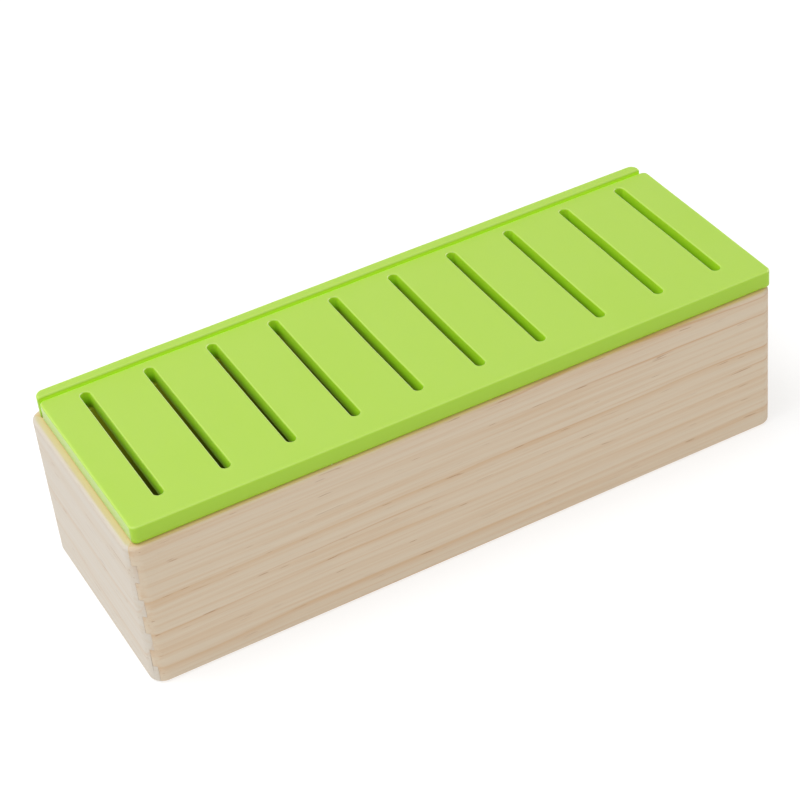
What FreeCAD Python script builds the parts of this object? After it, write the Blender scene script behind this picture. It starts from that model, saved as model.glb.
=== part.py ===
"""Soap loaf mould: a finger-jointed pine box, a silicone liner and a slotted silicone lid.

Frame: millimetres, +X along the loaf, +Y towards the back, +Z up. The origin is the centre of
the box's footprint, on the face it rests on.
"""
import FreeCAD, Part
import os
from math import cos, pi, sin

import Sketcher
from FreeCAD import Placement, Rotation, Vector

DIMENSIONS = {
    # wooden box, outside
    "box_length": 281.3,
    "box_width": 99.9,
    "box_height": 66.7,
    "board_thickness": 8.0,
    "base_thickness": 6.0,
    "fingers": 8,              # fingers up one corner, counting both boards
    "finger_lap": 1.4,         # how far a finger reaches past the mitre, along the board
    "corner_radius": 6.0,      # upright outside corners, sanded round through the fingers
    "wood_edge_radius": 1.5,   # outside top and bottom edges
    # silicone liner, a tub that lifts out with the loaf
    "liner_wall": 3.0,
    "liner_side_gap": 0.4,
    "liner_top_gap": 0.5,      # liner rim below the box rim
    "liner_corner_radius": 3.0,
    "liner_inside_radius": 2.0,
    "liner_rim_radius": 0.8,
    # slotted lid
    "lid_length": 278.1,
    "lid_width": 91.6,
    "lid_thickness": 7.8,
    "lid_corner_radius": 2.4,
    "lid_edge_radius": 0.9,
    "slots": 10,
    "slot_pitch": 27.1,
    "slot_length": 74.7,
    "slot_width": 4.1,
    "slot_front_margin": 12.4,  # lid's front edge to the near ends of the slots
    "slot_edge_radius": 0.6,
    # lip along the lid's back edge
    "lip_length": 275.5,
    "lip_width": 4.9,
    "lip_rise": 1.9,           # above the lid's top
    "lip_back_radius": 3.6,    # its back corners, seen from above
    "lip_front_radius": 0.8,
    "lip_edge_radius": 1.1,
    # how the loose lid sits on the box, square to it
    "lid_seat_gap": 0.2,
    "lid_shift_x": 1.9,
    "lid_shift_y": 0.3,
}
TOLERANCE = 1e-4               # for telling edges apart by their position

doc = FreeCAD.newDocument("soap_loaf_mould")


# ---- the sheet of driving dimensions ----

def make_sheet():
    """One row for each driving dimension: its name, and its value under the same alias."""
    sheet = doc.addObject("Spreadsheet::Sheet", "Dims")
    for row, (alias, value) in enumerate(DIMENSIONS.items(), start=1):
        sheet.set(f"A{row}", alias)
        sheet.set(f"B{row}", str(value))
        sheet.setAlias(f"B{row}", alias)
    doc.recompute()


def d(formula):
    """Write every dimension named in a formula as a reference to the sheet."""
    words = formula.replace("(", "( ").replace(")", " )").split()
    return " ".join(f"Dims.{word}" if word in DIMENSIONS else word for word in words)


# ---- sketches and features shared by the pieces ----

def new_body(name):
    body = doc.addObject("PartDesign::Body", name)
    body.Label = name
    return body


def new_sketch(body, name, plane, height=None):
    """A sketch on one of the body's own planes, raised along the plane's normal by a formula."""
    sketch = body.newObject("Sketcher::SketchObject", name)
    support = next(o for o in body.Origin.OriginFeatures if o.Role == plane)
    sketch.AttachmentSupport = [(support, "")]
    sketch.MapMode = "FlatFace"
    if height:
        sketch.setExpression("AttachmentOffset.Base.z", d(height))
    return sketch


def constrain(sketch, name, value_formula, *geometry):
    """Add a distance along one sketch axis, named and bound to the sheet."""
    index = sketch.addConstraint(Sketcher.Constraint(*geometry, 1.0))
    sketch.renameConstraint(index, name)
    sketch.setExpression(f"Constraints.{name}", d(value_formula))


def draw_polygon(sketch, tag, *corners):
    """A closed outline of straight lines, from a pair of formulas for each corner."""
    first = sketch.GeometryCount
    count = len(corners)
    for i in range(count):
        start, end = (Vector(cos(2 * pi * k / count), sin(2 * pi * k / count)) for k in (i, i + 1))
        sketch.addGeometry(Part.LineSegment(start, end), False)
    for i, (x, y) in enumerate(corners):
        line = first + i
        sketch.addConstraint(
            Sketcher.Constraint("Coincident", line, 2, first + (i + 1) % count, 1))
        constrain(sketch, f"{tag}_x{i}", x, "DistanceX", -1, 1, line, 1)
        constrain(sketch, f"{tag}_y{i}", y, "DistanceY", -1, 1, line, 1)


def draw_rectangle(sketch, x0, x1, y0, y1):
    draw_polygon(sketch, "corner", (x0, y0), (x1, y0), (x1, y1), (x0, y1))


def draw_centred_rectangle(sketch, width, height):
    draw_rectangle(sketch, f"- {width} / 2", f"{width} / 2", f"- {height} / 2", f"{height} / 2")


def pad(body, sketch, length):
    feature = body.newObject("PartDesign::Pad", f"{sketch.Name}_pad")
    feature.Profile = sketch
    feature.setExpression("Length", d(length))
    doc.recompute()


def cut(body, sketch, depth=None, upwards=False):
    """Cut a sketch into the body to a depth, or right through both ways from the sketch."""
    before = body.Tip.Shape.Volume
    feature = body.newObject("PartDesign::Pocket", f"{sketch.Name}_pocket")
    feature.Profile = sketch
    if depth:
        feature.setExpression("Length", d(depth))
        feature.Reversed = upwards
    else:
        feature.Type = "ThroughAll"
        feature.SideType = "Symmetric"
    doc.recompute()
    if feature.Shape.Volume > before - 1.0:
        raise RuntimeError(f"{feature.Name} cuts nothing")
    return feature


def repeat(body, feature, sketch, axis, count, length):
    """Repeat a feature along a sketch axis, over a whole length."""
    pattern = body.newObject("PartDesign::LinearPattern", f"{feature.Name}_row")
    pattern.Originals = [feature]
    pattern.Direction = (sketch, [axis])
    pattern.setExpression("Occurrences", d(count))
    pattern.setExpression("Length", d(length))
    body.Tip = pattern
    doc.recompute()


def round_edges(body, name, radius, wanted):
    """Fillet the edges of the body's tip for which wanted(edge) is true."""
    base = body.Tip
    edges = [f"Edge{i}" for i, edge in enumerate(base.Shape.Edges, start=1) if wanted(edge)]
    if not edges:
        raise RuntimeError(f"{name} finds no edges")
    feature = body.newObject("PartDesign::Fillet", name)
    feature.Base = (base, edges)
    feature.setExpression("Radius", d(radius))
    body.Tip = feature
    doc.recompute()


# ---- which edges to round ----

def near(one, two):
    return abs(one - two) < TOLERANCE


def is_upright(edge):
    box = edge.BoundBox
    return near(box.XLength, 0) and near(box.YLength, 0)


def lies_at_height(edge, z):
    return near(edge.BoundBox.ZMin, z) and near(edge.BoundBox.ZMax, z)


# ---- the wooden box ----

def make_board(name, length, first_notch):
    """A side of the box, standing with its outside on the body's XZ plane and centred on X.

    Both ends are mitred at 45 degrees. Every second finger is notched back past the mitre, and
    the neighbouring board's long fingers fill those notches. The first notch starts first_notch
    fingers above the bottom.
    """
    body = new_body(name)
    plan = new_sketch(body, f"{name}_plan", "XY_Plane")
    draw_rectangle(plan, f"- {length} / 2", f"{length} / 2", "0", "board_thickness")
    pad(body, plan, "box_height")
    round_edges(body, f"{name}_corners", "corner_radius",
                lambda edge: is_upright(edge) and near(edge.BoundBox.YMin, 0))

    mitres = new_sketch(body, f"{name}_mitres", "XY_Plane")
    long_finger = [("0", "finger_lap"), ("board_thickness - finger_lap", "board_thickness"),
                   ("0", "board_thickness")]
    draw_at_both_ends(mitres, length, long_finger)
    cut(body, mitres)

    finger = "box_height / fingers"
    notches = new_sketch(body, f"{name}_notches", "XY_Plane", height=f"{first_notch} * {finger}")
    notch = [("0", "0"), ("finger_lap", "0"), ("board_thickness", "board_thickness - finger_lap"),
             ("board_thickness", "board_thickness"),
             ("board_thickness - finger_lap", "board_thickness"), ("0", "finger_lap")]
    draw_at_both_ends(notches, length, notch)
    pocket = cut(body, notches, depth=finger, upwards=True)
    repeat(body, pocket, notches, "N_Axis", "fingers / 2", f"( fingers - 2 ) * {finger}")

    round_edges(body, f"{name}_eased", "wood_edge_radius", lambda edge: (
        any(lies_at_height(edge, z) for z in (0, DIMENSIONS["box_height"]))
        and (is_round_corner(edge) or near(edge.BoundBox.YMax, 0))))
    return body


def draw_at_both_ends(sketch, length, corners):
    """Draw an outline, given as distances from the board's end and outside, at both its ends."""
    draw_polygon(sketch, "left", *((f"{u} - {length} / 2", v) for u, v in corners))
    draw_polygon(sketch, "right", *((f"{length} / 2 - ( {u} )", v) for u, v in corners))


def is_round_corner(edge):
    return isinstance(edge.Curve, Part.Circle) and near(edge.Curve.Radius, DIMENSIONS["corner_radius"])


def place(body, angle, x="0", y="0", z="0"):
    """Turn a body about +Z, and bind its position to formulas."""
    body.Placement = Placement(Vector(), Rotation(Vector(0, 0, 1), angle))
    for axis, formula in (("x", x), ("y", y), ("z", z)):
        body.setExpression(f"Placement.Base.{axis}", d(formula))


def make_boards():
    """Long boards are notched at the bottom, and end boards have their first finger there."""
    for name, angle, y in (("front_board", 0, "- box_width / 2"),
                           ("back_board", 180, "box_width / 2")):
        place(make_board(name, "box_length", 0), angle, y=y)
    for name, angle, x in (("left_end_board", -90, "- box_length / 2"),
                           ("right_end_board", 90, "box_length / 2")):
        place(make_board(name, "box_width", 1), angle, x=x)


def make_base_board():
    """The bottom, glued in between the four sides and flush with their lower edges."""
    body = new_body("base_board")
    plan = new_sketch(body, "base_plan", "XY_Plane")
    draw_centred_rectangle(plan, "( box_length - 2 * board_thickness )",
                           "( box_width - 2 * board_thickness )")
    pad(body, plan, "base_thickness")


# ---- the silicone pieces ----

def make_liner():
    """An open tub with one wall thickness all round, a round rim and round inside corners."""
    body = new_body("silicone_liner")
    depth = "( box_height - base_thickness - liner_top_gap )"
    inset = "( board_thickness + liner_side_gap )"
    outline = new_sketch(body, "liner_outline", "XY_Plane")
    draw_centred_rectangle(outline, f"( box_length - 2 * {inset} )", f"( box_width - 2 * {inset} )")
    pad(body, outline, depth)
    round_edges(body, "liner_corners", "liner_corner_radius",
                lambda edge: is_upright(edge) or lies_at_height(edge, 0))
    outer = list(body.Tip.Shape.Edges)

    wall = f"( {inset} + liner_wall )"
    mouth = new_sketch(body, "liner_mouth", "XY_Plane", height=depth)
    draw_centred_rectangle(mouth, f"( box_length - 2 * {wall} )", f"( box_width - 2 * {wall} )")
    cut(body, mouth, f"{depth} - liner_wall")
    round_edges(body, "liner_inside_corners", "liner_inside_radius", lambda edge: (
        (is_upright(edge) or lies_at_height(edge, DIMENSIONS["liner_wall"]))
        and not any(edge.isPartner(other) for other in outer)))
    top = body.Tip.Shape.BoundBox.ZMax
    round_edges(body, "liner_rim", "liner_rim_radius", lambda edge: lies_at_height(edge, top))
    place(body, 0, z="base_thickness")


def place_on_box(body):
    """Both parts of the lid share one frame: the middle of their footprint, on the underside."""
    place(body, 0, "lid_shift_x", "lid_shift_y", "box_height + lid_seat_gap")


def make_lid():
    """The slab with its row of round-ended slots, every rim softly rounded."""
    body = new_body("slotted_lid")
    front = "- ( lid_width + lip_width ) / 2"
    plan = new_sketch(body, "lid_plan", "XY_Plane")
    draw_rectangle(plan, "- lid_length / 2", "lid_length / 2", front, f"lid_width {front}")
    pad(body, plan, "lid_thickness")
    round_edges(body, "lid_corners", "lid_corner_radius", is_upright)

    slot = new_sketch(body, "lid_slot", "XY_Plane")
    draw_slot(slot, "- ( slots - 1 ) * slot_pitch / 2", f"slot_front_margin {front}",
              "slot_width", "slot_length")
    pocket = cut(body, slot)
    repeat(body, pocket, slot, "H_Axis", "slots", "( slots - 1 ) * slot_pitch")

    def is_rim(edge):
        return any(lies_at_height(edge, z) for z in (0, DIMENSIONS["lid_thickness"]))

    round_edges(body, "lid_slot_rims", "slot_edge_radius", lambda e: is_rim(e) and is_inner(e))
    round_edges(body, "lid_outer_rims", "lid_edge_radius", lambda e: is_rim(e) and touches_side(e))
    place_on_box(body)


def is_inner(edge):
    """True for an edge well inside the lid's outline, round a slot."""
    bounds = edge.BoundBox
    half_length = DIMENSIONS["lid_length"] / 2 - DIMENSIONS["lid_corner_radius"]
    half_width = (DIMENSIONS["lid_width"] + DIMENSIONS["lip_width"]) / 2
    return (abs(bounds.Center.x) < half_length and bounds.XLength < DIMENSIONS["slot_pitch"]
            and abs(bounds.YMin) < half_width - DIMENSIONS["lid_corner_radius"])


def touches_side(edge):
    """True for an edge of the lid's outline."""
    bounds = edge.BoundBox
    half_length = DIMENSIONS["lid_length"] / 2
    reach = max(abs(bounds.XMin), abs(bounds.XMax))
    return near(reach, half_length) or bounds.XLength > DIMENSIONS["lid_length"] / 2


def draw_slot(sketch, centre_x, near_end, width, length):
    """A slot along the sketch's Y axis: two half circles joined by tangent lines."""
    top, bottom = Vector(0, 2), Vector(0, -2)
    normal = Vector(0, 0, 1)
    near_arc = sketch.addGeometry(
        Part.ArcOfCircle(Part.Circle(bottom, normal, 1), pi, 2 * pi), False)
    far_arc = sketch.addGeometry(Part.ArcOfCircle(Part.Circle(top, normal, 1), 0, pi), False)
    right = sketch.addGeometry(Part.LineSegment(Vector(1, -2), Vector(1, 2)), False)
    left = sketch.addGeometry(Part.LineSegment(Vector(-1, 2), Vector(-1, -2)), False)
    for arc, arc_end, line, line_end in ((near_arc, 2, right, 1), (far_arc, 1, right, 2),
                                         (far_arc, 2, left, 1), (near_arc, 1, left, 2)):
        sketch.addConstraint(Sketcher.Constraint("Tangent", arc, arc_end, line, line_end))
    sketch.addConstraint(Sketcher.Constraint("Vertical", right))
    sketch.addConstraint(Sketcher.Constraint("Equal", near_arc, far_arc))
    constrain(sketch, "centre_x", centre_x, "DistanceX", -1, 1, near_arc, 3)
    constrain(sketch, "near_centre", f"{near_end} + {width} / 2", "DistanceY", -1, 1, near_arc, 3)
    constrain(sketch, "straight", f"{length} - {width}", "DistanceY", near_arc, 3, far_arc, 3)
    constrain(sketch, "end_radius", f"{width} / 2", "Radius", near_arc)


def make_lip():
    """The bar along the lid's back edge, which stands a little above the lid."""
    body = new_body("lid_rear_lip")
    plan = new_sketch(body, "lip_plan", "XY_Plane")
    draw_rectangle(plan, "- lid_length / 2", "lip_length - lid_length / 2",
                   "( lid_width - lip_width ) / 2", "( lid_width + lip_width ) / 2")
    pad(body, plan, "lid_thickness + lip_rise")
    back = body.Tip.Shape.BoundBox.YMax
    height = body.Tip.Shape.BoundBox.ZMax
    round_edges(body, "lip_back_corners", "lip_back_radius",
                lambda edge: is_upright(edge) and near(edge.BoundBox.YMax, back))
    forward = body.Tip.Shape.BoundBox.YMin
    round_edges(body, "lip_front_corners", "lip_front_radius",
                lambda edge: is_upright(edge) and near(edge.BoundBox.YMin, forward))
    round_edges(body, "lip_top", "lip_edge_radius", lambda edge: lies_at_height(edge, height))
    place_on_box(body)


# ---- checks and files ----

def check_document():
    """Stop on any failed object, and on a piece that isn't one valid solid."""
    failed = [o.Name for o in doc.Objects if {"Invalid", "Error"} & set(o.State)]
    if failed:
        raise RuntimeError(f"failed objects: {failed}")
    for body in pieces():
        shape = body.Shape
        if shape.isNull() or not shape.isValid() or len(shape.Solids) != 1:
            raise RuntimeError(f"{body.Label} is not one valid solid")


def pieces():
    return [o for o in doc.Objects if o.TypeId == "PartDesign::Body"]


def write_steps():
    os.makedirs("parts", exist_ok=True)
    for body in pieces():
        body.Shape.exportStep(f"parts/{body.Label}.step")
        box = body.Shape.BoundBox
        print(f"{body.Label:16s} {box.XLength:8.2f} {box.YLength:8.2f} {box.ZLength:8.2f} mm")


make_sheet()
make_boards()
make_base_board()
make_liner()
make_lid()
make_lip()
doc.recompute()
check_document()
write_steps()
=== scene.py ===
"""Looks for the soap loaf mould: a finger-jointed pine box, a silicone liner, a lime slotted lid.

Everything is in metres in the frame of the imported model. X runs along the loaf, Z is up.
"""
from math import cos, radians, sin

import bmesh
import bpy
from mathutils import Matrix, Vector
from mathutils.noise import noise_vector, seed_set


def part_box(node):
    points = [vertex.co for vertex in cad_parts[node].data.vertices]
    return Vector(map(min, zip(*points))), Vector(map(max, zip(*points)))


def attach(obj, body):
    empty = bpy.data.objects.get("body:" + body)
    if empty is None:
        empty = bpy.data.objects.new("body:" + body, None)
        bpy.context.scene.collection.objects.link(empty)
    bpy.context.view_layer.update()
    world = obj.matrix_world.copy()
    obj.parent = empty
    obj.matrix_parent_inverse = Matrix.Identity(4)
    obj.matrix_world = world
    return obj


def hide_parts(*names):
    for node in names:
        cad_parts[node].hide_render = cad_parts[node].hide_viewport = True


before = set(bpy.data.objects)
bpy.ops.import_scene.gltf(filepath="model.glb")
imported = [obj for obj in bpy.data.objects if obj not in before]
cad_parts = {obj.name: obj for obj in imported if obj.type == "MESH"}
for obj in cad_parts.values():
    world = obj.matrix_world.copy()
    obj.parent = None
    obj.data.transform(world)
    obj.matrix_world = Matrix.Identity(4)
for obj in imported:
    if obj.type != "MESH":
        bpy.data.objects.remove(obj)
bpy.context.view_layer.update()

MM = 0.001
MERGE = 1e-6                    # vertices closer than this are one
FLAT = radians(0.5)             # faces meeting at less than this are one

# The camera looks at the box from its front left, from above.
CAMERA_PLACE = Vector((-0.3135, -0.6822, 0.6121))
CAMERA_AZIMUTH = -24.363
CAMERA_ELEVATION = 37.18
CAMERA_ROLL = -6.632
CAMERA_LENS = 106.11            # mm
CAMERA_SENSOR = 36.0            # mm wide

SEAM_WIDTH = 0.16 * MM          # how far the edges of the wooden pieces are eased
HARD_EDGE = radians(35)         # faces meeting at more than this have an edge between them
RING_SPACING = 8.0 * MM         # between the growth rings of the pine
SOFT_SPACING = 5.0 * MM         # between the cuts that let a silicone piece bend
LID_SAG = 0.35 * MM             # of the lid's middle, between the box's sides
LID_WAVER = 0.10 * MM           # how far the lid and its lip stray from their drawn shape
LINER_WAVER = 0.20 * MM         # the same for the liner's free upper edge
LID_WAVES = 28.0                # waves of that straying per metre
LINER_WAVES = 24.0
NOISE_SEED = 5                  # any fixed number but 0, which would stand for the clock

FLOOR_REACH = 6.0               # from the middle of the floor to its edges
FLOOR_GAP = 0.2 * MM            # below the box, so that the two faces don't coincide
FLOOR_GLOW = 1.25               # strength of the floor's own light
WORLD_STRENGTH = 0.62
KEY_PLACE = Vector((-0.7, 0.2, 1.8))
KEY_AIM = Vector((0.0, 0.0, 0.04))  # the middle of the mould
KEY_SIZE = 1.2
KEY_POWER = 21.0                # W

LINER_LOW, LINER_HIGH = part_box("silicone_liner")
BOX_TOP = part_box("front_board")[1].z


# ---- colours ----

def srgb(red, green, blue):
    """A display colour, each part 0 to 255, as linear RGBA."""
    parts = [part / 255 for part in (red, green, blue)]
    linear = [p / 12.92 if p <= 0.04045 else ((p + 0.055) / 1.055) ** 2.4 for p in parts]
    return (*linear, 1.0)


FLECK = srgb(150, 104, 72)          # short resin flecks in the late wood
END_GRAIN = srgb(196, 158, 122)
RUBBED_EDGE = srgb(214, 190, 164)
BOUNCE_TINT = srgb(255, 240, 168)   # painted bounce light: wood beside the lime lid, tinted as a filter on its colour
BOUNCE_LIGHT = srgb(112, 106, 62)   # and as a painted glow, for the light thrown back onto it
DUST = srgb(246, 250, 238)


# ---- shader nodes ----

def add(tree, kind, inputs, **settings):
    """A new shader node. Each input is a value, or the output socket that feeds it."""
    made = tree.nodes.new("ShaderNode" + kind)
    for key, value in settings.items():
        setattr(made, key, value)
    for key, value in inputs.items():
        if isinstance(value, bpy.types.NodeSocket):
            tree.links.new(value, made.inputs[key])
        else:
            made.inputs[key].default_value = value
    return made


def calc(tree, operation, *values):
    """The result of one arithmetic step."""
    return add(tree, "Math", dict(enumerate(values)), operation=operation).outputs[0]


def vector_calc(tree, operation, *values):
    """The same for vectors."""
    return add(tree, "VectorMath", dict(enumerate(values)), operation=operation).outputs[0]


def split(tree, vector):
    """A vector's three parts, by the names X, Y and Z."""
    return add(tree, "SeparateXYZ", {"Vector": vector}).outputs


def blend_colours(tree, share, first, second, mode="MIX"):
    """The Mix node's inputs 6 and 7 and its output 2 are the ones for colours."""
    mixed = add(tree, "Mix", {0: share, 6: first, 7: second}, data_type="RGBA", blend_type=mode)
    return mixed.outputs[2]


def ramp(tree, value, *stops, interpolation="EASE"):
    """Map a value through (place, level) stops to a grey level."""
    made = add(tree, "ValToRGB", {"Fac": value})
    curve = made.color_ramp
    curve.interpolation = interpolation
    while len(curve.elements) < len(stops):
        curve.elements.new(0.5)
    for element, (place, level) in zip(curve.elements, stops):
        element.position = place
        element.color = (level, level, level, 1.0)
    return made.outputs[0]


def noise(tree, place, scale, detail=2.0, roughness=0.5):
    """Noise whose features are 1/scale metres, with a scale of its own for each axis."""
    stretched = vector_calc(tree, "MULTIPLY", place, scale)
    return add(tree, "TexNoise", {"Vector": stretched, "Scale": 1.0, "Detail": detail,
                                  "Roughness": roughness})


def new_material(name):
    """A material, and its empty node tree."""
    material = bpy.data.materials.new(name)
    material.use_nodes = True
    material.node_tree.nodes.clear()
    return material, material.node_tree


def finish_material(tree, shader):
    """Send the shader to the material's output."""
    add(tree, "OutputMaterial", {"Surface": shader.outputs[0]})


def edge_mask(tree, radius):
    """About 1 on an edge and 0 on a flat face, from how far a rounded normal leans."""
    rounded = add(tree, "Bevel", {"Radius": radius}, samples=4).outputs[0]
    plain = add(tree, "NewGeometry", {}).outputs["Normal"]
    agree = add(tree, "VectorMath", {0: rounded, 1: plain}, operation="DOT_PRODUCT").outputs["Value"]
    return ramp(tree, calc(tree, "SUBTRACT", 1.0, agree), (0.01, 0.0), (0.2, 1.0))


def crevice_mask(tree, reach, open_from):
    """1 where surfaces within reach close a place in, and 0 once it is open by the share open_from."""
    openness = add(tree, "AmbientOcclusion", {"Distance": reach}, samples=8).outputs["AO"]
    return ramp(tree, openness, (0.35, 1.0), (open_from, 0.0))


# ---- materials ----

def growth_rings(tree, place, heart):
    """Three patterns of a log that runs along X, with its centre at heart.

    They are how late the wood is within its ring, the same weakened from ring to ring and along the
    log, and the thin dark edge that some rings have.
    """
    slow = noise(tree, place, (7.0, 30.0, 30.0), detail=1.0).outputs["Color"]
    quick = noise(tree, place, (30.0, 150.0, 150.0)).outputs["Color"]
    wavy = place
    for wander, width in ((slow, 8.0 * MM), (quick, 1.5 * MM)):
        centred = vector_calc(tree, "SUBTRACT", wander, (0.5, 0.5, 0.5))
        wavy = vector_calc(tree, "ADD", wavy, vector_calc(tree, "MULTIPLY", centred, (0.0, width, width)))
    from_axis = vector_calc(tree, "SUBTRACT", wavy, (0.0, *heart))
    across = vector_calc(tree, "MULTIPLY", from_axis, (0.0, 1.0, 1.0))
    from_heart = add(tree, "VectorMath", {0: across}, operation="LENGTH").outputs["Value"]
    rings = calc(tree, "DIVIDE", from_heart, RING_SPACING)
    within_ring = calc(tree, "FRACT", rings)
    ring_number = calc(tree, "FLOOR", rings)

    late_wood = ramp(tree, within_ring, (0.0, 0.10), (0.28, 0.0), (0.58, 0.30), (0.80, 0.85),
                     (0.88, 1.0), (0.94, 0.45), (1.0, 0.10))
    chance = add(tree, "TexWhiteNoise", {"W": ring_number}, noise_dimensions="1D").outputs["Value"]
    ring_strength = calc(tree, "MULTIPLY_ADD", chance, 0.70, 0.30)
    drift = ramp(tree, noise(tree, place, (9.0, 60.0, 60.0), detail=1.0).outputs[0],
                 (0.30, 0.35), (0.70, 1.0))
    band = calc(tree, "MULTIPLY", calc(tree, "MULTIPLY", late_wood, ring_strength), drift)

    thin_line = ramp(tree, within_ring, (0.83, 0.0), (0.87, 1.0), (0.89, 1.0), (0.93, 0.0))
    lined = ramp(tree, noise(tree, place, (6.0, 70.0, 70.0), detail=1.0).outputs[0],
                 (0.48, 0.0), (0.60, 1.0))
    return late_wood, band, calc(tree, "MULTIPLY", thin_line, lined)


def beside_lid(tree, position):
    """1 on wood right beside the lid, where light that it throws back is painted on, and 0 away from it.
    """
    height_share = calc(tree, "DIVIDE", split(tree, position)["Z"], BOX_TOP)
    near_top = ramp(tree, height_share, (0.88, 0.0), (0.95, 1.0))
    return calc(tree, "MULTIPLY", near_top, crevice_mask(tree, 9.0 * MM, open_from=0.95))


def pine(name, along, shift, heart, light, warm, line):
    """Bare sanded pine, as solid wood cut from a log.

    along is the axis of the grain, shift slides the board through the log, and heart is where the
    log's centre lies, across the grain. light and warm are the early and late wood, and line is the
    thin dark edge that some rings have.
    """
    material, tree = new_material(name)
    turn = radians(-90) if along == "Y" else 0.0
    position = add(tree, "TexCoord", {}).outputs["Object"]
    place = add(tree, "Mapping", {"Vector": position,
                                  "Location": shift, "Rotation": (0.0, 0.0, turn)}).outputs[0]
    late_wood, band, thin_line = growth_rings(tree, place, heart)
    fibre = noise(tree, place, (45.0, 2200.0, 2200.0), detail=3.0, roughness=0.6).outputs[0]
    streak = noise(tree, place, (10.0, 620.0, 620.0)).outputs[0]
    fleck = noise(tree, place, (75.0, 1300.0, 1300.0), detail=1.0).outputs[0]
    fleck = calc(tree, "MULTIPLY", ramp(tree, fleck, (0.665, 0.0), (0.72, 1.0)), late_wood)

    colour = blend_colours(tree, band, light, warm)
    streak_share = ramp(tree, streak, (0.40, 0.0), (0.75, 0.60))
    colour = blend_colours(tree, streak_share, colour, warm)
    colour = blend_colours(tree, calc(tree, "MULTIPLY", thin_line, 0.40), colour, line)
    fibre_level = ramp(tree, fibre, (0.25, 0.94), (0.75, 1.0), interpolation="LINEAR")
    colour = blend_colours(tree, 1.0, colour, fibre_level, mode="MULTIPLY")
    colour = blend_colours(tree, calc(tree, "MULTIPLY", fleck, 0.60), colour, FLECK)

    normal = add(tree, "TexCoord", {}).outputs["Normal"]
    lean = calc(tree, "ABSOLUTE", split(tree, normal)[along])
    end_grain = ramp(tree, lean, (0.45, 0.0), (0.95, 1.0))
    end_colour = blend_colours(tree, calc(tree, "MULTIPLY", band, 0.6), colour, END_GRAIN)
    colour = blend_colours(tree, end_grain, colour, end_colour)

    rubbed = edge_mask(tree, 1.2 * MM)
    colour = blend_colours(tree, calc(tree, "MULTIPLY", rubbed, 0.15), colour, RUBBED_EDGE)
    # Painted bounce light: wood beside the lime lid gets a yellow tint and a faint glow.
    by_lid = beside_lid(tree, position)
    colour = blend_colours(tree, by_lid, colour, BOUNCE_TINT, mode="MULTIPLY")

    roughness = calc(tree, "MULTIPLY_ADD", fibre, 0.16, 0.52)
    height = calc(tree, "ADD", calc(tree, "MULTIPLY", fibre, 0.6), calc(tree, "MULTIPLY", band, 0.4))
    bump = add(tree, "Bump", {"Height": height, "Strength": 0.35, "Distance": 0.12 * MM})
    # The emission is that painted glow of light thrown back by the lid, not a lamp.
    shader = add(tree, "BsdfPrincipled", {
        "Base Color": colour, "Roughness": roughness, "Specular IOR Level": 0.25,
        "Normal": bump.outputs[0],
        "Emission Color": BOUNCE_LIGHT, "Emission Strength": calc(tree, "POWER", by_lid, 3.0)})
    finish_material(tree, shader)
    return material


def dust_specks(tree, place):
    """1 within small specks that lie far apart, and 0 between them."""
    cells = add(tree, "TexVoronoi", {"Vector": place, "Scale": 85.0, "Randomness": 1.0})
    speck = ramp(tree, cells.outputs["Distance"], (0.018, 1.0), (0.032, 0.0))
    chosen = ramp(tree, cells.outputs["Color"], (0.70, 0.0), (0.72, 1.0))
    return calc(tree, "MULTIPLY", speck, chosen)


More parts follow.
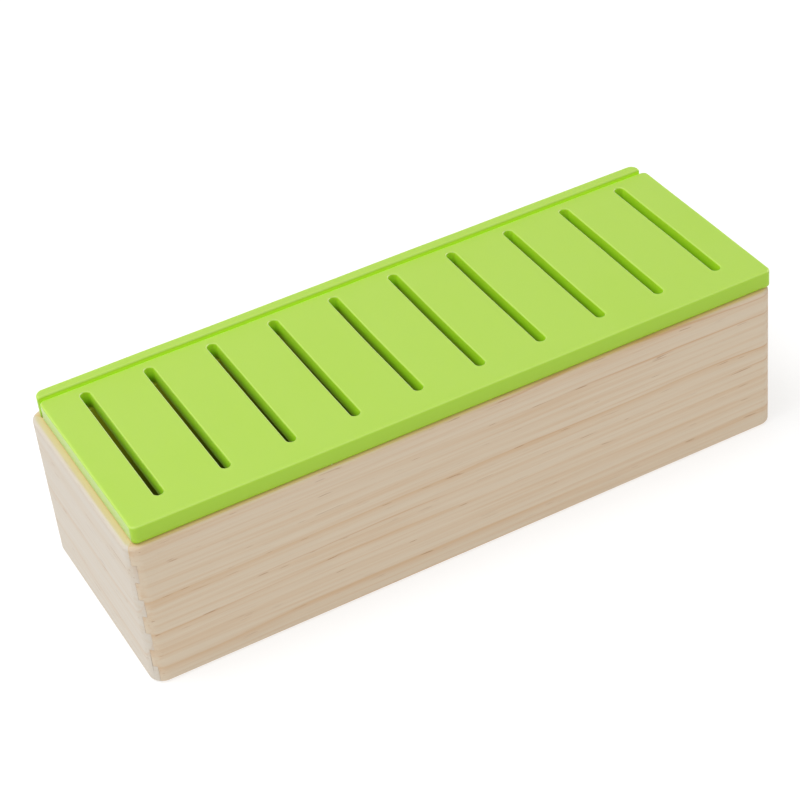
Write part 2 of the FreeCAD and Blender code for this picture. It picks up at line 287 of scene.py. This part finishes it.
def silicone(name, node, reach, lit_from, top, side, deep, dark, edge, glancing_reflection, carried, glow, roughness):
    """Moulded silicone, which light spreads through.

    top is the paler colour of faces that look up, a painted sheen from the light above, and side
    that of the others. deep is the richer colour painted into crevices up to reach wide, where they
    lie in shade, and dark is painted shade in their lower half. edge is a painted highlight on
    rounded rims, most of all those that face right, and haze the paler colour painted on skin seen
    at a low angle, as a reflection. carried is a glow painted into a crevice, for the light that
    comes through the silicone, from lit_from of the node's height upwards.
    """
    material, tree = new_material(name)
    place = add(tree, "TexCoord", {}).outputs["Object"]
    clouds = noise(tree, place, (22.0, 22.0, 22.0)).outputs[0]
    grain = noise(tree, place, (900.0, 900.0, 900.0)).outputs[0]
    waves = noise(tree, place, (38.0, 38.0, 38.0), detail=1.0).outputs[0]

    facing = split(tree, add(tree, "NewGeometry", {}).outputs["Normal"])
    # Faces that look up get the paler top colour: a painted sheen from the light above.
    base = blend_colours(tree, ramp(tree, facing["Z"], (0.2, 0.0), (0.9, 1.0)), side, top)
    cloudy = ramp(tree, clouds, (0.35, 0.0), (0.70, 1.0))
    base = blend_colours(tree, calc(tree, "MULTIPLY", cloudy, 0.12), base, side)
    lowest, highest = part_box(node)
    height_share = add(tree, "MapRange", {"Value": split(tree, place)["Z"],
                                          "From Min": lowest.z, "From Max": highest.z}).outputs[0]
    # Painted shade: crevices get the deep colour, and the dark one in their lower half.
    crevice = crevice_mask(tree, reach, open_from=0.88)
    base = blend_colours(tree, crevice, base, deep)
    low_down = ramp(tree, height_share, (0.0, 1.0), (0.50, 0.0))
    base = blend_colours(tree, calc(tree, "MULTIPLY", crevice, low_down), base, dark)
    # Painted highlight: rounded rims get the edge colour, most of all those that face right.
    rim = ramp(tree, facing["Z"], (0.20, 0.0), (0.50, 1.0), (0.88, 1.0), (0.98, 0.0))
    to_the_right = ramp(tree, facing["X"], (0.05, 0.15), (0.30, 0.80))
    base = blend_colours(tree, calc(tree, "MULTIPLY", rim, to_the_right), base, edge)
    # Painted reflection: open skin seen at a low angle turns paler.
    away = add(tree, "LayerWeight", {"Blend": 0.5}).outputs["Facing"]
    low_angle = ramp(tree, away, (0.62, 0.0), (0.95, 0.75))
    open_skin = calc(tree, "SUBTRACT", 1.0, crevice)
    base = blend_colours(tree, calc(tree, "MULTIPLY", low_angle, open_skin), base, glancing_reflection)

    base = blend_colours(tree, calc(tree, "MULTIPLY", dust_specks(tree, place), 0.5), base, DUST)

    skin = calc(tree, "MULTIPLY_ADD", grain, 0.10, roughness)
    height = calc(tree, "ADD", calc(tree, "MULTIPLY", grain, 0.05), waves)
    bump = add(tree, "Bump", {"Height": height, "Strength": 0.30, "Distance": 0.30 * MM})
    # The emission is a glow painted into crevices, for the light that comes through the silicone.
    lit = ramp(tree, height_share, (lit_from, 0.0), (1.0, 1.0), interpolation="LINEAR")
    shader = add(tree, "BsdfPrincipled", {
        "Base Color": base, "Roughness": skin, "IOR": 1.43, "Normal": bump.outputs[0],
        "Subsurface Weight": glow, "Subsurface Radius": (1.0, 1.0, 0.45),
        "Subsurface Scale": 3.0 * MM,
        "Emission Color": carried, "Emission Strength": calc(tree, "MULTIPLY", crevice, lit)})
    finish_material(tree, shader)
    return material


def paint(piece, material):
    """Give a piece this material and no other."""
    piece.data.materials.clear()
    piece.data.materials.append(material)


# ---- pieces ----

def joined_mesh(node):
    """A closed working copy of a CAD node's mesh, with its flat faces whole."""
    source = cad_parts[node].data
    mesh = bpy.data.meshes.new(f"{node}_copy")
    mesh.from_pydata([v.co for v in source.vertices], [], [p.vertices for p in source.polygons])
    shape = bmesh.new()
    shape.from_mesh(mesh)
    bmesh.ops.remove_doubles(shape, verts=shape.verts, dist=MERGE)
    bmesh.ops.dissolve_limit(shape, angle_limit=FLAT, verts=shape.verts, edges=shape.edges)
    return mesh, shape


def finish_piece(node, mesh, shape, body):
    """Turn a working copy into the visible piece that stands for its CAD node."""
    bmesh.ops.recalc_face_normals(shape, faces=shape.faces)
    if shape.calc_volume(signed=True) < 0.0:
        bmesh.ops.reverse_faces(shape, faces=shape.faces)
    shape.to_mesh(mesh)
    shape.free()
    mesh.shade_smooth()
    mesh.set_sharp_from_angle(angle=HARD_EDGE)
    piece = bpy.data.objects.new(f"{node}_visible", mesh)
    bpy.context.scene.collection.objects.link(piece)
    weighted = piece.modifiers.new("even_shading", "WEIGHTED_NORMAL")
    weighted.keep_sharp = True
    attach(piece, body)
    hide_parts(node)
    return piece


def wooden_piece(node):
    """A board with its hard edges eased, so that the glued seams show as fine lines."""
    mesh, shape = joined_mesh(node)
    hard = [e for e in shape.edges if e.is_manifold and e.calc_face_angle() > HARD_EDGE]
    bmesh.ops.bevel(shape, geom=hard, offset=SEAM_WIDTH, offset_type="OFFSET", segments=2,
                    profile=0.5, affect="EDGES", clamp_overlap=False)
    return finish_piece(node, mesh, shape, "box")


def silicone_piece(node, body, bend):
    """A soft piece: its mesh is cut into an even grid, and bend moves every vertex a little."""
    mesh, shape = joined_mesh(node)
    lowest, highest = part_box(node)
    for axis in range(3):
        normal = Vector(1.0 if i == axis else 0.0 for i in range(3))
        cuts = int((highest[axis] - lowest[axis]) / SOFT_SPACING)
        for i in range(1, cuts + 1):
            place = normal * (lowest[axis] + i * (highest[axis] - lowest[axis]) / (cuts + 1))
            bmesh.ops.bisect_plane(shape, geom=shape.verts[:] + shape.edges[:] + shape.faces[:],
                                   dist=MERGE, plane_co=place, plane_no=normal)
    for vertex in shape.verts:
        vertex.co += bend(vertex.co)
    bmesh.ops.triangulate(shape, faces=[f for f in shape.faces if len(f.verts) > 4])
    return finish_piece(node, mesh, shape, body)


def swell(share):
    """1 in the middle and 0 from share 1 outwards, with no corner in between."""
    return max(0.0, 1.0 - share * share) ** 2


def bend_lid(place):
    """The lid sags a little between the sides it lies on, and its edges aren't quite straight."""
    sag = LID_SAG * swell(place.x / LINER_HIGH.x) * swell(place.y / LINER_HIGH.y)
    return noise_vector(place * LID_WAVES) * LID_WAVER - Vector((0.0, 0.0, sag))


def bend_liner(place):
    """The liner's walls waver more towards their free upper edge."""
    share = (place.z - LINER_LOW.z) / (LINER_HIGH.z - LINER_LOW.z)
    return noise_vector(place * LINER_WAVES) * LINER_WAVER * share


def make_boards():
    """Each board gets wood of its own, with the grain along its length."""
    common = (srgb(219, 202, 178), srgb(211, 180, 145), srgb(194, 144, 102))
    # The left end board's pale wood is partly a paler board and partly painted light: that end is made
    # lighter and cooler for the bright light falling on it.
    pale = (srgb(215, 206, 193), srgb(211, 196, 176), srgb(210, 186, 162))
    boards = {
        "front_board": ("X", (0.40, 0.0, 0.0), (-0.036, -0.118), *common),
        "back_board": ("X", (1.70, 0.11, 0.02), (0.080, -0.090), *common),
        "left_end_board": ("Y", (2.90, 0.31, 0.0), (0.150, -0.110), *pale),
        "right_end_board": ("Y", (4.30, -0.27, 0.01), (-0.120, -0.130), *common),
        "base_board": ("X", (5.60, 0.05, 0.30), (0.030, 0.190), *common),
    }
    for node, look in boards.items():
        paint(wooden_piece(node), pine(f"pine_{node}", *look))


def make_silicone():
    """The lid and its lip are of one silicone, and the liner is of a darker one."""
    # Besides each silicone's own colour, these hold painted light and shade: paler upward faces, richer
    # and darker crevices, bright rims, paler skin at low angles and a glow in crevices.
    lime = silicone("lime_silicone", "slotted_lid", reach=7.0 * MM, lit_from=0.40,
                    top=srgb(177, 212, 84), side=srgb(168, 209, 50),
                    deep=srgb(172, 232, 36), dark=srgb(128, 142, 23),
                    edge=srgb(228, 248, 168), glancing_reflection=srgb(214, 228, 192),
                    carried=srgb(102, 100, 26), glow=0.45, roughness=0.36)
    inner = silicone("liner_silicone", "silicone_liner", reach=60.0 * MM, lit_from=0.0,
                     top=srgb(150, 186, 66), side=srgb(140, 176, 48),
                     deep=srgb(112, 150, 28), dark=srgb(104, 112, 28),
                     edge=srgb(186, 214, 110), glancing_reflection=srgb(190, 206, 160),
                     carried=srgb(84, 86, 12), glow=0.35, roughness=0.42)
    paint(silicone_piece("slotted_lid", "lid", bend_lid), lime)
    paint(silicone_piece("lid_rear_lip", "lid", bend_lid), lime)
    paint(silicone_piece("silicone_liner", "liner", bend_liner), inner)


# ---- floor, light and camera ----

def make_floor():
    """A wide pale floor that glows a little, so that shadows on it stay faint."""
    mesh = bpy.data.meshes.new("floor")
    corners = [(x * FLOOR_REACH, y * FLOOR_REACH, 0) for x, y in ((-1, -1), (1, -1), (1, 1), (-1, 1))]
    mesh.from_pydata(corners, [], [(0, 1, 2, 3)])
    floor = bpy.data.objects.new("floor", mesh)
    bpy.context.scene.collection.objects.link(floor)
    floor.location.z = -FLOOR_GAP
    material, tree = new_material("floor_white")
    matte = add(tree, "BsdfDiffuse", {"Color": (0.92, 0.92, 0.92, 1.0)})
    glow = add(tree, "Emission", {"Color": (1.0, 1.0, 1.0, 1.0), "Strength": FLOOR_GLOW})
    mixed = add(tree, "MixShader", {0: 0.5, 1: matte.outputs[0], 2: glow.outputs[0]})
    finish_material(tree, mixed)
    paint(floor, material)


def make_key_light():
    """A square soft box that faces the middle of the mould."""
    light = bpy.data.lights.new("key", "AREA")
    light.size = KEY_SIZE
    light.energy = KEY_POWER
    lamp = bpy.data.objects.new("key", light)
    lamp.location = KEY_PLACE
    lamp.rotation_mode = "QUATERNION"
    lamp.rotation_quaternion = (KEY_PLACE - KEY_AIM).to_track_quat("Z", "Y")
    bpy.context.scene.collection.objects.link(lamp)


def make_studio():
    """Even white light from all round, and colours shown as they are."""
    world = bpy.data.worlds.new("studio")
    world.use_nodes = True
    background = world.node_tree.nodes["Background"]
    background.inputs["Color"].default_value = (1.0, 1.0, 1.0, 1.0)
    background.inputs["Strength"].default_value = WORLD_STRENGTH
    bpy.context.scene.world = world
    bpy.context.scene.view_settings.view_transform = "Standard"


def make_camera():
    """The camera, turned by its azimuth, elevation and roll."""
    data = bpy.data.cameras.new("camera")
    data.lens = CAMERA_LENS
    data.sensor_width = CAMERA_SENSOR
    camera = bpy.data.objects.new("camera", data)
    azimuth, elevation, roll = map(radians, (CAMERA_AZIMUTH, CAMERA_ELEVATION, CAMERA_ROLL))
    back = Vector((sin(azimuth) * cos(elevation), -cos(azimuth) * cos(elevation), sin(elevation)))
    level = Vector((cos(azimuth), sin(azimuth), 0))
    right = cos(roll) * level + sin(roll) * back.cross(level)
    up = back.cross(right)
    turn = Matrix((right, up, back)).transposed().to_4x4()
    camera.matrix_world = Matrix.Translation(CAMERA_PLACE) @ turn
    bpy.context.scene.collection.objects.link(camera)
    bpy.context.scene.camera = camera


seed_set(NOISE_SEED)
make_boards()
make_silicone()
make_floor()
make_key_light()
make_studio()
make_camera()
